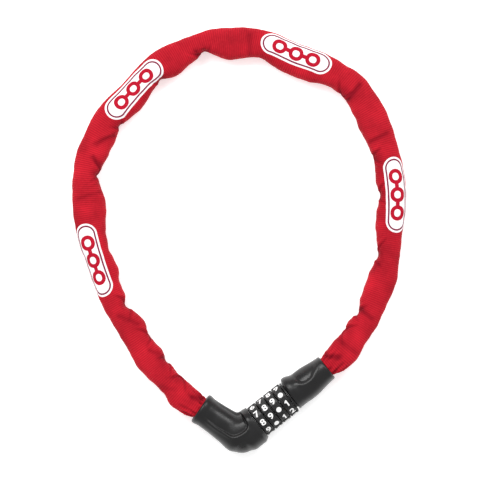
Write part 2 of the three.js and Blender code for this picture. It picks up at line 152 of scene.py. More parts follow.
def waves(a, b, seed, scale):
    """Smooth irregular waves over the plane (a, b), about -1 to 1, the same on every run."""
    rng = np.random.default_rng(seed)
    total = np.zeros(np.broadcast(a, b).shape)
    count = 7
    for _ in range(count):
        turn, phase = rng.uniform(0, 2 * math.pi, 2)
        rate = 2 * math.pi / (scale * rng.uniform(0.7, 1.6))
        total += np.sin(rate * (a * math.cos(turn) + b * math.sin(turn)) + phase)
    return total / math.sqrt(count)


def lock_to_part(points):
    """Points of the lock's frame in the part's frame, both in millimetres."""
    p = np.asarray(points, float)
    c, s = math.cos(AXIS), math.sin(AXIS)
    turned = np.stack([c * p[..., 0] - s * p[..., 1], s * p[..., 0] + c * p[..., 1], p[..., 2]], -1)
    return turned + RIM


def on_leg(distance):
    return lock_to_part([CORNER_X + distance * math.cos(LEG), distance * math.sin(LEG), 0])


def on_plug(distance):
    return lock_to_part([distance, 0, 0])


# --- meshes ---


def mesh_object(name, points, faces, material, smooth=True):
    """A new object from points in the part's frame, in millimetres."""
    mesh = bpy.data.meshes.new(name)
    mesh.from_pydata((np.asarray(points) * MM).tolist(), [], [list(map(int, f)) for f in faces])
    mesh.materials.append(material)
    mesh.polygons.foreach_set("use_smooth", [smooth] * len(mesh.polygons))
    mesh.update()
    made = bpy.data.objects.new(name, mesh)
    bpy.context.scene.collection.objects.link(made)
    return made


def surface_net(field, low, high, pitch):
    """Quads over the zero level of field(x, y, z) in a box. The field is negative inside the solid."""
    grid = [np.arange(a - 2 * pitch, b + 3 * pitch, pitch) for a, b in zip(low, high)]
    value = field(*np.meshgrid(*grid, indexing="ij"))
    cells = np.array(value.shape) - 1
    total = np.zeros((cells.prod(), 3))
    count = np.zeros(cells.prod())
    quads = []
    for axis in range(3):
        a, b = np.delete(value, -1, axis), np.delete(value, 0, axis)
        at = np.nonzero((a < 0) != (b < 0))
        share = a[at] / (a[at] - b[at])
        place = np.stack([grid[k][at[k]] for k in range(3)], -1)
        place[:, axis] += share * pitch
        side, top = [k for k in range(3) if k != axis]
        corners = []
        for back_side, back_top in ((0, 0), (1, 0), (1, 1), (0, 1)):
            cell = [np.array(k) for k in at]
            cell[side] = cell[side] - back_side
            cell[top] = cell[top] - back_top
            flat = np.ravel_multi_index(cell, cells)
            np.add.at(total, flat, place)
            np.add.at(count, flat, 1)
            corners.append(flat)
        quad = np.stack(corners, -1)
        flip = (a[at] >= 0) != (axis == 1)
        quad[flip] = quad[flip][:, ::-1]
        quads.append(quad)
    used = np.nonzero(count)[0]
    index = np.full(cells.prod(), -1)
    index[used] = np.arange(len(used))
    points = total[used] / count[used, None]
    for _ in range(3):
        points -= towards_surface(field, points, pitch)
    return points, index[np.vstack(quads)]


def towards_surface(field, points, pitch):
    """How far the points lie off the field's zero level, as steps along its slope."""
    nudge, flattest, longest = 0.05, 0.2, 0.4 * pitch
    value = field(*points.T)
    slope = np.stack([
        field(*(points + nudge * np.eye(3)[k]).T) - field(*(points - nudge * np.eye(3)[k]).T)
        for k in range(3)
    ], -1) / (2 * nudge)
    move = value[:, None] * slope / np.maximum((slope ** 2).sum(1), flattest)[:, None]
    length = np.linalg.norm(move, axis=1, keepdims=True)
    return move * np.minimum(1, longest / np.maximum(length, 1e-9))


def moulded(name, field, low, high, pitch, material):
    """A moulded shell in the lock's frame, from its field."""
    points, quads = surface_net(field, low, high, pitch)
    return mesh_object(name, lock_to_part(points), quads, material)


def ring_quads(rows, sides, closed):
    """Quads between rows of points round rings, and from the last ring to the first if closed."""
    return [
        (i * sides + j, i * sides + (j + 1) % sides,
         (i + 1) % rows * sides + (j + 1) % sides, (i + 1) % rows * sides + j)
        for i in range(rows if closed else rows - 1) for j in range(sides)
    ]


def revolved(name, profile, radius_at, sides, material):
    """A ring round the dial axis. profile is a closed line of (x, radius, share), and radius_at gives
    how much is added to the radius at an angle, times share."""
    points = []
    for x, radius, share in profile:
        for j in range(sides):
            angle = 2 * math.pi * j / sides
            r = radius + share * radius_at(angle)
            points.append((x, -r * math.sin(angle), r * math.cos(angle)))
    return mesh_object(name, lock_to_part(points), ring_quads(len(profile), sides, True), material)


# --- materials ---


class Shading:
    """A material's node tree, with short ways to add and join nodes."""

    def __init__(self, name):
        self.material = bpy.data.materials.new(name)
        self.material.use_nodes = True
        self.tree = self.material.node_tree
        self.shader = self.tree.nodes["Principled BSDF"]

    def put(self, socket, value):
        if isinstance(value, bpy.types.NodeSocket):
            self.tree.links.new(value, socket)
        else:
            socket.default_value = value

    def set(self, **values):
        for name, value in values.items():
            self.put(self.shader.inputs[name.replace("_", " ")], value)

    def place(self, along=None):
        """The point on the object, in metres, or its stretched copy."""
        out = self.tree.nodes.new("ShaderNodeTexCoord").outputs["Object"]
        if along is None:
            return out
        mapping = self.tree.nodes.new("ShaderNodeMapping")
        mapping.inputs["Scale"].default_value = along
        self.put(mapping.inputs["Vector"], out)
        return mapping.outputs["Vector"]

    def noise(self, scale, detail=3.0, vector=None):
        node = self.tree.nodes.new("ShaderNodeTexNoise")
        self.put(node.inputs["Vector"], self.place() if vector is None else vector)
        node.inputs["Scale"].default_value = scale
        node.inputs["Detail"].default_value = detail
        return node.outputs["Fac"]

    def math(self, kind, a, b=0.0, c=0.0):
        node = self.tree.nodes.new("ShaderNodeMath")
        node.operation = kind
        for socket, value in zip(node.inputs, (a, b, c)):
            self.put(socket, value)
        return node.outputs[0]

    def fit(self, value, low, high, to_low=0.0, to_high=1.0):
        node = self.tree.nodes.new("ShaderNodeMapRange")
        for socket, number in zip(node.inputs, (value, low, high, to_low, to_high)):
            self.put(socket, number)
        return node.outputs[0]

    def hypot(self, a, b):
        squares = self.math("ADD", self.math("MULTIPLY", a, a), self.math("MULTIPLY", b, b))
        return self.math("SQRT", squares)

    def mix(self, share, a, b):
        node = self.tree.nodes.new("ShaderNodeMix")
        node.data_type = "RGBA"
        self.put(node.inputs["Factor"], share)
        self.put(node.inputs["A"], a)
        self.put(node.inputs["B"], b)
        return node.outputs["Result"]

    def relief(self, height, distance, strength=1.0):
        """A bump from a height between 0 and 1 that stands for distance, in metres."""
        node = self.tree.nodes.new("ShaderNodeBump")
        node.inputs["Strength"].default_value = strength
        node.inputs["Distance"].default_value = distance
        self.put(node.inputs["Height"], height)
        return node.outputs["Normal"]

    def edges(self):
        """1 on sharp outer edges, 0 elsewhere."""
        node = self.tree.nodes.new("ShaderNodeNewGeometry")
        return self.fit(node.outputs["Pointiness"], 0.52, 0.62)


def plastic(name, colour, worn, roughness, grain):
    """Moulded plastic with a fine spark-eroded grain, handling marks and slightly worn edges."""
    s = Shading(name)
    fine = s.noise(5200, 2)
    cloudy = s.noise(90, 4)
    scuffs = s.noise(900, 5, s.place((1, 0.12, 0.5)))
    rubbed = s.math("MULTIPLY", s.edges(), s.fit(s.noise(350), 0.35, 0.65, 0.2, 1.0))
    tone = s.mix(s.fit(cloudy, 0.3, 0.7), (*colour, 1), (*[c * 1.35 for c in colour], 1))
    s.set(Base_Color=s.mix(s.math("MULTIPLY", rubbed, 0.6), tone, (*worn, 1)))
    uneven = s.fit(cloudy, 0.3, 0.7, roughness - 0.05, roughness + 0.06)
    marks = s.fit(scuffs, 0.58, 0.72, 0.0, 0.12)
    s.set(Roughness=s.math("ADD", uneven, marks))
    s.set(Normal=s.relief(fine, grain), Specular_IOR_Level=0.32)
    return s.material


def print_ink(name, colour):
    """Pad-printed ink, thin and slightly uneven."""
    s = Shading(name)
    patchy = s.fit(s.noise(1400, 4), 0.35, 0.7)
    s.set(Base_Color=s.mix(patchy, (*colour, 1), (*[c * 0.86 for c in colour], 1)))
    s.set(Roughness=s.fit(s.noise(2600), 0.3, 0.7, 0.42, 0.6))
    s.set(Normal=s.relief(s.noise(3800), 0.00002))
    return s.material


def metal(name, colour, roughness, stretch, grain, stain):
    """Turned, drawn or cast metal: grain stretched one way, with oil and oxide stains."""
    s = Shading(name)
    lines = s.noise(2400, 4, s.place(stretch))
    stains = s.fit(s.noise(160, 5), 0.45, 0.7)
    tone = s.mix(s.fit(lines, 0.3, 0.7, 0.0, 0.35), (*colour, 1), (*[c * 0.6 for c in colour], 1))
    s.set(Base_Color=s.mix(s.math("MULTIPLY", stains, 0.5), tone, (*stain, 1)), Metallic=1.0)
    s.set(Roughness=s.fit(lines, 0.25, 0.75, roughness - 0.08, roughness + 0.14))
    s.set(Normal=s.relief(lines, grain))
    return s.material


RIB_PITCH = 0.0014  # cross ribs of the weave, in metres
THREAD_PITCH = 0.0008
BADGE = {"half_length": 0.0252, "radius": 0.0077, "ring": 0.0013, "gap": 0.0011}


def woven(name, badges):
    """Ribbed polyester weave with printed badges. The weave runs in the UV map, which holds the
    distance along the sleeve and round it in metres."""
    s = Shading(name)
    uv = s.tree.nodes.new("ShaderNodeUVMap")
    uv.uv_map = "cloth"
    parts = s.tree.nodes.new("ShaderNodeSeparateXYZ")
    s.put(parts.inputs[0], uv.outputs["UV"])
    along, across = parts.outputs["X"], parts.outputs["Y"]
    drift = s.fit(s.noise(70, 2), 0.0, 1.0, -0.0006, 0.0006)
    row = s.math("DIVIDE", s.math("ADD", along, drift), RIB_PITCH)
    rib = s.fit(s.math("SINE", s.math("MULTIPLY", row, 2 * math.pi)), -1.0, 1.0)
    offset = s.math("MULTIPLY", s.math("FLOOR", row), math.pi)
    column = s.math("MULTIPLY_ADD", across, 2 * math.pi / THREAD_PITCH, offset)
    thread = s.fit(s.math("SINE", column), -1.0, 1.0)
    weave = s.math("MULTIPLY_ADD", thread, 0.35, s.math("MULTIPLY", rib, 0.65))
    painted_fold_shade = s.tree.nodes.new("ShaderNodeAttribute")
    painted_fold_shade.attribute_name = "painted_fold_shade"
    cloudy = s.fit(s.noise(55, 4), 0.3, 0.7)
    slubs = s.fit(s.noise(900, 3), 0.3, 0.75)
    red = s.mix(cloudy, (0.31, 0.005, 0.013, 1), (0.55, 0.011, 0.024, 1))
    red = s.mix(s.math("MULTIPLY", slubs, 0.2), red, (0.66, 0.028, 0.042, 1))
    # painted shade: the red darker in the grooves between the weave's ribs and threads
    red = s.mix(s.fit(weave, 0.0, 0.6, 0.7, 0.0), red, (0.21, 0.002, 0.010, 1))
    # painted shade: the red darkens towards deep crimson in the creases, pleats and pinches, by the shade
    # stored on the mesh
    red = s.mix(s.math("MULTIPLY", painted_fold_shade.outputs["Fac"], 0.85), red, (0.16, 0.001, 0.008, 1))
    field, line, mark = badge_masks(s, along, across, badges)
    dirty = s.fit(s.noise(700, 4), 0.4, 0.75)
    white = s.mix(dirty, (0.84, 0.83, 0.84, 1), (0.72, 0.69, 0.71, 1))
    colour = s.mix(field, red, white)
    colour = s.mix(line, colour, (0.19, 0.011, 0.04, 1))
    colour = s.mix(mark, colour, s.mix(dirty, (0.42, 0.006, 0.022, 1), (0.34, 0.005, 0.02, 1)))
    s.set(Base_Color=colour, Roughness=s.fit(weave, 0.0, 1.0, 0.92, 0.74))
    s.set(Sheen_Weight=0.03, Sheen_Roughness=0.4, Sheen_Tint=(1.0, 0.5, 0.5, 1.0))
    s.set(Specular_IOR_Level=0.1)
    print_fill = s.math("MULTIPLY", field, 0.45)
    height = s.math("MULTIPLY", weave, s.math("SUBTRACT", 1.0, print_fill))
    s.set(Normal=s.relief(height, 0.00022, 0.9))
    return s.material


def badge_masks(s, along, across, badges):
    """Where the white field, the line along its border and the sign on it are printed."""
    field_total, line_total, mark_total = 0.0, 0.0, 0.0
    straight = BADGE["half_length"] - BADGE["radius"]
    line_radius = BADGE["radius"] - BADGE["ring"] - BADGE["gap"] / 2
    for middle_along, middle_across in badges:
        a = s.math("SUBTRACT", along, middle_along)
        b = s.math("SUBTRACT", across, middle_across)
        past_end = s.math("MAXIMUM", s.math("SUBTRACT", s.math("ABSOLUTE", a), straight), 0.0)
        reach = s.hypot(past_end, b)
        inside = s.math("LESS_THAN", reach, BADGE["radius"])
        line = s.math("COMPARE", reach, line_radius, BADGE["gap"] / 2)
        field_total = s.math("MAXIMUM", inside, field_total)
        line_total = s.math("MAXIMUM", line, line_total)
        mark_total = s.math("MAXIMUM", chain_sign(s, a, b), mark_total)
    return field_total, line_total, mark_total


def chain_sign(s, a, b):
    """A plain sign of three chain links in a row, drawn as thick rings with bars between them."""
    pitch, ring_radius, half_straight, half_stroke = 0.0121, 0.0034, 0.0004, 0.0013
    from_ring = s.math("ABSOLUTE", s.math("WRAP", a, pitch / 2, -pitch / 2))
    flat = s.math("MAXIMUM", s.math("SUBTRACT", from_ring, half_straight), 0.0)
    reach = s.hypot(flat, b)
    rings = s.math("COMPARE", reach, ring_radius, half_stroke)
    from_middle = s.math("ABSOLUTE", a)
    rings = s.math("MULTIPLY", rings, s.math("LESS_THAN", from_middle, 1.5 * pitch))
    bars = s.math("MULTIPLY", s.math("GREATER_THAN", from_ring, ring_radius),
                  s.math("LESS_THAN", s.math("ABSOLUTE", b), half_stroke))
    bars = s.math("MULTIPLY", bars, s.math("LESS_THAN", from_middle, pitch))
    return s.math("MAXIMUM", rings, bars)


SHELL = plastic("shell_black", (0.0055, 0.0055, 0.0058), (0.025, 0.025, 0.026), 0.3, 0.00003)
WHEEL = plastic("dial_black", (0.0035, 0.0035, 0.0037), (0.02, 0.02, 0.021), 0.34, 0.00002)
INK = print_ink("number_white", (0.88, 0.88, 0.87))
METAL_LOOKS = {  # colour, roughness, stretch of the grain, its depth, stain
    "chain_steel": ((0.50, 0.51, 0.52), 0.36, (1, 1, 0.2), 0.00003, (0.2, 0.17, 0.14)),
    "die_cast_zinc": ((0.46, 0.47, 0.48), 0.5, (1, 1, 1), 0.00008, (0.3, 0.3, 0.31)),
    "pin_steel": ((0.6, 0.61, 0.62), 0.3, (1, 1, 0.1), 0.00002, (0.3, 0.27, 0.24)),
    "spring_steel": ((0.05, 0.05, 0.056), 0.4, (0.1, 1, 1), 0.00001, (0.02, 0.02, 0.03)),
    "ring_brass": ((0.62, 0.45, 0.18), 0.32, (0.2, 1, 1), 0.00002, (0.3, 0.2, 0.1)),
}
METALS = {name: metal(name, *look) for name, look in METAL_LOOKS.items()}


def finish_cad_nodes():
    """Every CAD node gets the finish of its slot in the record."""
    finishes = {"shell_plastic": SHELL, "dial_plastic": WHEEL, "white_print": INK, **METALS}
    for row in frame["record"]["materials"]:
        if row["slot"] in finishes:
            for name in row.get("nodes", []):
                looks = frame["nodes"][name].data.materials
                looks.clear()
                looks.append(finishes[row["slot"]])


# --- elbow ---

# The sunk panel on the elbow. Its lip runs down the leg's outer side, round the corner and along the
# neck to an end wall. The panel is open towards the loop and fades out at the mouth.
PANEL_LIP = [(-24.4, 24), (-24.2, 22.1), (-22.6, 15.1), (-20.2, 8.7), (-17.7, 3.4), (-12.8, 1.3),
             (-6.9, 1.4), (-4.4, 3.2)]
PANEL_REST = [(-3.6, 8), (-3.2, 18), (-3, 45), (-32, 45)]
PANEL = [tuple(p) for p in spline(PANEL_LIP, 4)] + PANEL_REST
PANEL_DEPTH, LIP_HEIGHT, SLIT_DEPTH = 1.15, 0.5, 0.8
ELBOW = {  # radii outside, and by how much they change along it
    "leg": 11.75, "leg_taper": 1.25, "mouth_flare": 0.55, "ball": 12.2, "neck": 13.6, "neck_taper": 1.0,
}
ELBOW_HOLLOW = {"leg": 9.15, "mouth_taper": 0.7, "ball": 10, "neck": 10.8, "spindle": 4.9, "washer": 11}
ELBOW_TOP = 13
SECTION_SQUARENESS = 2.15  # the moulded parts' sections are slightly squared circles
NECK_SHIFT = -0.6  # the collar bulges a little to the outside
RIM_LAP = 0.8  # the rim stands out over the spring washer
HALF_GAP = 0.12  # half of the parting line between the two shells


def leg_coordinates(x, y):
    """Distance along the leg from the corner, and sideways, positive to the outside."""
    c, s = math.cos(LEG), math.sin(LEG)
    return (x - CORNER_X) * c + y * s, -(x - CORNER_X) * s + y * c


def elbow_solid(x, y, z):
    """The elbow's smooth outside: the leg, a ball at the corner and the neck, cut flat underneath."""
    along, side = leg_coordinates(x, y)
    leg_radius = ELBOW["leg"] - ELBOW["leg_taper"] * ease(along, 2, 26)
    leg_radius = leg_radius + ELBOW["mouth_flare"] * ease(along, 27.5, 31.5)
    leg = oval(side, z, SECTION_SQUARENESS) - leg_radius
    leg = smooth_max(leg, along - LEG_LENGTH, 1.8)
    leg = smooth_max(leg, -along, 3)
    ball = np.sqrt((x - CORNER_X - 1) ** 2 + (y + 0.3) ** 2 + z ** 2) - ELBOW["ball"]
    neck_radius = ELBOW["neck"] - ELBOW["neck_taper"] * ease(x, -2.5, RIM_LAP)
    shift = NECK_SHIFT * (1 - ease(x, -2.4, RIM_LAP))
    neck = oval(y - shift, z, 2.1) - neck_radius
    neck = smooth_max(neck, x - RIM_LAP, 0.5)
    neck = smooth_max(neck, -13.5 - x, 4)
    solid = smooth_min(smooth_min(leg, ball, 5), neck, 1.8)
    solid = smooth_max(solid, z - ELBOW_TOP, 2)
    return smooth_max(solid, GROUND - z, 1.2)


def panel_relief(x, y, z):
    """How far the elbow's surface sinks in the panel and in the slit at its end wall, less how far it
    stands up along the lip."""
    along, _ = leg_coordinates(x, y)
    distance = outline_distance(x, y, PANEL)
    fade = (1 - ease(along, 21, 30)) * ease(np.abs(z), 1.5, 4.5)
    sunk = PANEL_DEPTH * (1 - 0.42 * ease(along, 6, 24)) * (1 - ease(distance, -1.0, 0.3))
    on_lip = 1 - ease(x, -7, -4.5)
    lip = -LIP_HEIGHT * bump(distance, 1.1, 1.15) * on_lip
    slit = SLIT_DEPTH * bump(distance, -0.9, 0.7) * ease(x, -7, -5) * (1 - ease(y, 8, 11))
    return (sunk + lip + slit) * fade


def elbow_shell(x, y, z):
    """The elbow with its relief, hollow for the core and the chain."""
    along, side = leg_coordinates(x, y)
    hole = ELBOW_HOLLOW["leg"] - ELBOW_HOLLOW["mouth_taper"] * ease(along, 29, 31)
    leg = smooth_max(np.hypot(side, z) - hole, -0.3 - along, 0.3)
    ball = np.sqrt((x - CORNER_X) ** 2 + y ** 2 + z ** 2) - ELBOW_HOLLOW["ball"]
    radius = np.hypot(y, z)
    neck = smooth_max(radius - ELBOW_HOLLOW["neck"], x + 1.8, 0.3)
    neck = smooth_max(neck, CORNER_X - x, 0.3)
    spindle_hole = smooth_max(radius - ELBOW_HOLLOW["spindle"], -3 - x, 0.3)
    washer_seat = smooth_max(radius - ELBOW_HOLLOW["washer"], 0.1 - x, 0.1)
    cavity = np.minimum.reduce([leg, ball, neck, spindle_hole, washer_seat])
    outside = smooth_max(elbow_solid(x, y, z) + panel_relief(x, y, z), GROUND - z, 0.4)
    return smooth_max(outside, -cavity, 0.3)


def elbow_half(name, upwards, low, high, pitch):
    """The half of the elbow above the parting line for upwards 1, and below it for -1."""
    def field(x, y, z):
        return smooth_max(elbow_shell(x, y, z), HALF_GAP - upwards * z, 0.5)

    return moulded(name, field, low, high, pitch, SHELL)


def elbow_covers(pitch):
    upper = elbow_half("elbow_shell_upper", 1, (-36, -15, 0), (1, 37, 13.2), pitch)
    lower = elbow_half("elbow_shell_lower", -1, (-36, -15, GROUND), (1, 37, 0), pitch)
    for shell, node in ((upper, "elbow_cover_upper"), (lower, "elbow_cover_lower")):
        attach(shell, "lock_body")
        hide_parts(node)


# --- plug ---

# The thumb scoop: a steep wall at its dial end, a lip along its lower edge, open towards the loop.
SCOOP_LIP = [(38.4, 8), (39.5, 4.2), (42.4, 1.6), (48.7, 1.3), (51.2, 2.6), (54.2, 4.4), (56, 6.5)]
SCOOP = [tuple(p) for p in spline(SCOOP_LIP, 4)] + [(57, 13), (48, 14), (38, 14)]
SCOOP_DEPTH, SCOOP_LIP_HEIGHT = 0.95, 0.16
PLUG = {"radius": 11.8, "waist": 0.8, "taper": 1.75, "nose_rounding": 0.7, "mouth_taller": 0.22}
PLUG_HOLE = {"radius": 7.5, "half_height": 9.4}
PLUG_SHIFT = 1.2  # its dial end bulges a little to the inside


def plug_shell(x, y, z):
    """The plug's cover: round at the dials, narrow and taller at the mouth, with the scoop, and hollow."""
    taller = 1 + PLUG["mouth_taller"] * np.clip((x - PLUG_START) / (PLUG_END - PLUG_START), 0, 1)
    radius = PLUG["radius"] - PLUG["waist"] * ease(x, 33, 38.5) - PLUG["taper"] * ease(x, 43, 60)
    radius = radius - PLUG["nose_rounding"] * (1 - ease(x, PLUG_START, PLUG_START + 1.8))
    shift = PLUG_SHIFT * (1 - ease(x, 33, 40)) * ease(x, PLUG_START, PLUG_START + 1.5)
    solid = oval(y - shift, z / taller, SECTION_SQUARENESS) - radius
    solid = smooth_max(solid, PLUG_START - x, 0.7)
    solid = smooth_max(solid, x - PLUG_END, 1.6)
    distance = outline_distance(x, y, SCOOP)
    on_faces = ease(np.abs(z), 0.5, 9.5)
    sunk = SCOOP_DEPTH * (1 - ease(distance, -2.0, 0.5)) * (1 - 0.5 * ease(x, 47, 55))
    lip = -SCOOP_LIP_HEIGHT * bump(distance, 1.2, 1.1) * (1 - ease(y, 5, 7))
    hole = oval(y, z * PLUG_HOLE["radius"] / PLUG_HOLE["half_height"]) - PLUG_HOLE["radius"]
    return smooth_max(solid + (sunk + lip) * on_faces, -hole, 0.4)


def plug_cover(pitch):
    low, high = (PLUG_START, -12.2, -12.6), (PLUG_END, 12.8, 12.6)
    cover = moulded("plug_shell", plug_shell, low, high, pitch, SHELL)
    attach(cover, "plug")
    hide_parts("plug_cover")


# --- dials ---

STATIONS = 10
FIRST_ROW = math.radians(-63.5)  # the row of digits furthest to the inside of the loop
FIRST_DIGIT = 6  # what the first dial shows there
DIGIT = {"height": 4.5, "width": 3.4, "dot": 1.75, "relief": 0.06, "strip": 0.5, "bolder": 0.024}
INK_SUNK = 0.02  # how far a print reaches under the surface
DOT_SIDES = 40
ONE = [(0.95, -2.25), (0.95, 2.25), (0.3, 2.25), (-1, 1.4), (-1, 0.5), (-0.05, 1), (-0.05, -2.25)]
GRIP = {"ribs": 3, "reach": 0.12, "edge": (0.105, 0.135), "rise": 0.06, "ridge": 0.36, "sink": 0.12}
DIAL_SIDES, RING_SIDES = 400, 160


def grip(angle):
    """Height added to a dial at an angle: a shallow flat under each digit, and ribs between digits."""
    step = 2 * math.pi / STATIONS
    from_digit = abs((angle - FIRST_ROW + step / 2) % step - step / 2)
    from_rib = abs(from_digit - step / 2)
    zone = 1 - float(ease(from_rib, *GRIP["edge"]))
    ridge = 0.5 + 0.5 * math.cos(math.pi * GRIP["ribs"] * from_rib / GRIP["reach"])
    return GRIP["rise"] + zone * (GRIP["ridge"] * ridge - GRIP["sink"])


def dial_profile(x0, x1):
    """Closed line of a dial: outside from one end to the other, then back through the bore."""
    edge, r, bore = 0.55, DIAL["radius"], DIAL["bore"]
    outer = [(0.0, -0.62, 0.0), (0.1, -0.35, 0.2), (0.3, -0.12, 0.6), (edge, 0.0, 1.0), (1.1, 0.0, 1.0)]
    first = [(x0 + dx, r + dr, share) for dx, dr, share in outer]
    last = [(x1 - dx, r + dr, share) for dx, dr, share in reversed(outer)]
    inner = [(x1, bore + 0.3, 0), (x1 - 0.3, bore, 0), (x0 + 0.3, bore, 0), (x0, bore + 0.3, 0)]
    return first + [((x0 + x1) / 2, r, 1.0)] + last + inner


def outline_prism(outline):
    """A flat outline as a thin block."""
    made = bmesh.new()
    made.faces.new([made.verts.new((x, y, 0)) for x, y in outline])
    risen = bmesh.ops.extrude_face_region(made, geom=list(made.faces))
    moved = [v for v in risen["geom"] if isinstance(v, bmesh.types.BMVert)]
    bmesh.ops.translate(made, vec=(0, 0, DIGIT["relief"]), verts=moved)
    return made


def font_prism(text):
    """A digit of the built-in font, made bolder, as a thin block of the dial's digit size."""
    curve = bpy.data.curves.new("digit", "FONT")
    curve.body = text
    curve.offset = DIGIT["bolder"]
    curve.extrude = 0.5
    curve.resolution_u = 8
    letter = bpy.data.objects.new("digit", curve)
    bpy.context.scene.collection.objects.link(letter)
    mesh = bpy.data.meshes.new_from_object(letter.evaluated_get(bpy.context.evaluated_depsgraph_get()))
    bpy.data.objects.remove(letter)
    bpy.data.curves.remove(curve)
    made = bmesh.new()
    made.from_mesh(mesh)
    bpy.data.meshes.remove(mesh)
    co = np.array([v.co for v in made.verts])
    low, high = co.min(0), co.max(0)
    size = np.array([DIGIT["width"], DIGIT["height"], DIGIT["relief"]])
    for v, p in zip(made.verts, co):
        v.co = (p - (low + high) / 2) / (high - low) * size + np.array([0, 0, DIGIT["relief"] / 2])
    return made


def in_fixed_order(points, triangles):
    """The same mesh with points and triangles sorted, since the cuts leave them in a new order each run."""
    order = np.lexsort(points.T)
    rank = np.argsort(order).tolist()
    renumbered = [[rank[k] for k in triangle] for triangle in triangles]
    starts = [triangle.index(min(triangle)) for triangle in renumbered]
    return points[order], sorted(t[k:] + t[:k] for t, k in zip(renumbered, starts))


def glyph(text):
    """A dial's sign as a thin closed mesh about the origin, cut into strips so that it can be wrapped."""
    if text == "0":
        turns = [2 * math.pi * k / DOT_SIDES for k in range(DOT_SIDES)]
        made = outline_prism([(DIGIT["dot"] * math.cos(t), DIGIT["dot"] * math.sin(t)) for t in turns])
    elif text == "1":
        made = outline_prism(ONE)
    else:
        made = font_prism(text)
    half = max(v.co.y for v in made.verts)
    bmesh.ops.remove_doubles(made, verts=made.verts, dist=1e-5)
    for y in np.arange(-half + DIGIT["strip"], half, DIGIT["strip"]):
        everything = made.verts[:] + made.edges[:] + made.faces[:]
        bmesh.ops.bisect_plane(made, geom=everything, plane_co=(0, y, 0), plane_no=(0, 1, 0))
    bmesh.ops.triangulate(made, faces=made.faces)
    bmesh.ops.recalc_face_normals(made, faces=made.faces)
    made.verts.index_update()
    points = np.array([v.co for v in made.verts])
    faces = [[v.index for v in f.verts] for f in made.faces]
    made.free()
    return in_fixed_order(points, faces)


def digit_ring(index, glyphs, radius):
    """The ten printed signs of one dial, wrapped on it, as one mesh."""
    middle = DIAL["first"] + index * DIAL["pitch"] + DIAL["width"] / 2
    points, faces = [], []
    for station in range(STATIONS):
        digit = (FIRST_DIGIT + index + station) % 10
        flat, triangles = glyphs[str(digit)]
        start = sum(len(p) for p in points)
        angle = FIRST_ROW + station * 2 * math.pi / STATIONS - flat[:, 1] / radius
        r = radius - INK_SUNK + flat[:, 2]
        points.append(np.stack([middle + flat[:, 0], -r * np.sin(angle), r * np.cos(angle)], -1))
        faces += [[start + k for k in t] for t in triangles]
    made = mesh_object(f"dial_{index + 1}_digits", lock_to_part(np.vstack(points)), faces, INK, False)
    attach(made, f"dial_{index + 1}")


def dials():
    glyphs = {str(d): glyph(str(d)) for d in range(10)}
    for index in range(DIAL["count"]):
        x0 = DIAL["first"] + index * DIAL["pitch"]
        profile = dial_profile(x0, x0 + DIAL["width"])
        wheel = revolved(f"dial_{index + 1}_wheel", profile, grip, DIAL_SIDES, WHEEL)
        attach(wheel, f"dial_{index + 1}")
        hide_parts(f"dial_{index + 1}")
        digit_ring(index, glyphs, DIAL["radius"] + GRIP["rise"])


def index_ring():
    start, length, r = INDEX_RING["start"], INDEX_RING["length"], INDEX_RING["radius"]
    end, bore = start + length, INDEX_RING["bore"]
    profile = [(start, r - 0.35, 0), (start + 0.1, r - 0.1, 0), (start + 0.3, r, 0), (end - 0.3, r, 0),
               (end - 0.1, r - 0.1, 0), (end, r - 0.35, 0), (end, bore, 0), (start, bore, 0)]
    ring = revolved("index_ring_body", profile, lambda angle: 0, RING_SIDES, SHELL)
    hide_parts("index_ring")
    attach(ring, "lock_body")
    inset = 0.12
    mark = arc_mark("index_mark", start + inset, end - inset, r, math.radians(46), math.radians(98))
    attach(mark, "lock_body")


def arc_mark(name, x0, x1, radius, angle0, angle1):
    """A printed bar round part of a ring, as a thin closed mesh."""
    steps = 24
    inner, outer = radius - INK_SUNK, radius + DIGIT["relief"]
    points = []
    for angle in np.linspace(angle0, angle1, steps + 1):
        for x, r in ((x0, inner), (x1, inner), (x1, outer), (x0, outer)):
            points.append((x, -r * math.sin(angle), r * math.cos(angle)))
    faces = [(0, 1, 2, 3), tuple(4 * steps + k for k in (3, 2, 1, 0))]
    for i in range(steps):
        for k in range(4):
            a, b = 4 * i + k, 4 * i + (k + 1) % 4
            faces.append((a, a + 4, b + 4, b))
    return mesh_object(name, lock_to_part(points), faces, INK, False)


# --- sleeve ---

SIDES = 88
STATION_PITCH = 0.7
SECTION_POWER = 2 / 3.1  # the section is an oval with flatter top and sides
# Half widths of the sleeve at distances along it: to the outside and to the inside of the loop.
# The inside edge is pinched where the cloth has gathered, and bulges between the pinches.
EDGES = [
    (0, 7.2, 7.0), (4, 7.4, 7.0), (12, 10.4, 7.8), (19, 10.8, 8.6), (27, 8.2, 6.9), (35, 8.9, 8.2),
    (43, 10.0, 7.5), (51, 10.6, 9.2), (63, 8.8, 7.4), (75, 9.0, 10.7), (90, 8.5, 5.8), (103, 8.6, 7.0),
    (117, 8.8, 10.9), (131, 8.6, 8.8), (145, 9.2, 9.9), (163, 10.5, 12.8), (187, 9.0, 6.9),
    (203, 10.3, 11.3), (213, 10.0, 10.9), (227, 10.2, 8.0), (247, 9.3, 12.4), (271, 9.6, 7.4),
    (284, 9.2, 11.4), (296, 8.5, 9.6), (309, 9.0, 5.4), (328, 8.4, 12.9), (350, 9.6, 9.4),
    (366, 9.0, 12.0), (387, 9.2, 13.1), (407, 9.8, 8.4), (418, 10.9, 7.0), (434, 9.4, 10.7),
    (447, 9.7, 11.6), (457, 9.7, 10.1), (470, 10.1, 8.0), (485, 9.9, 9.9), (498, 9.6, 7.8),
    (520, 9.1, 10.1), (541, 9.0, 6.2), (557, 10.4, 8.4), (571, 9.8, 8.1), (584, 9.8, 6.3),
    (593, 8.9, 8.9), (600, 8.7, 6.9), (611, 10.1, 9.8), (619, 9.4, 9.0), (626, 6.8, 6.6),
    (630, 6.4, 6.4),
]
PINCH_WIDTH = 8.5  # an inside half width under this counts as a pinch
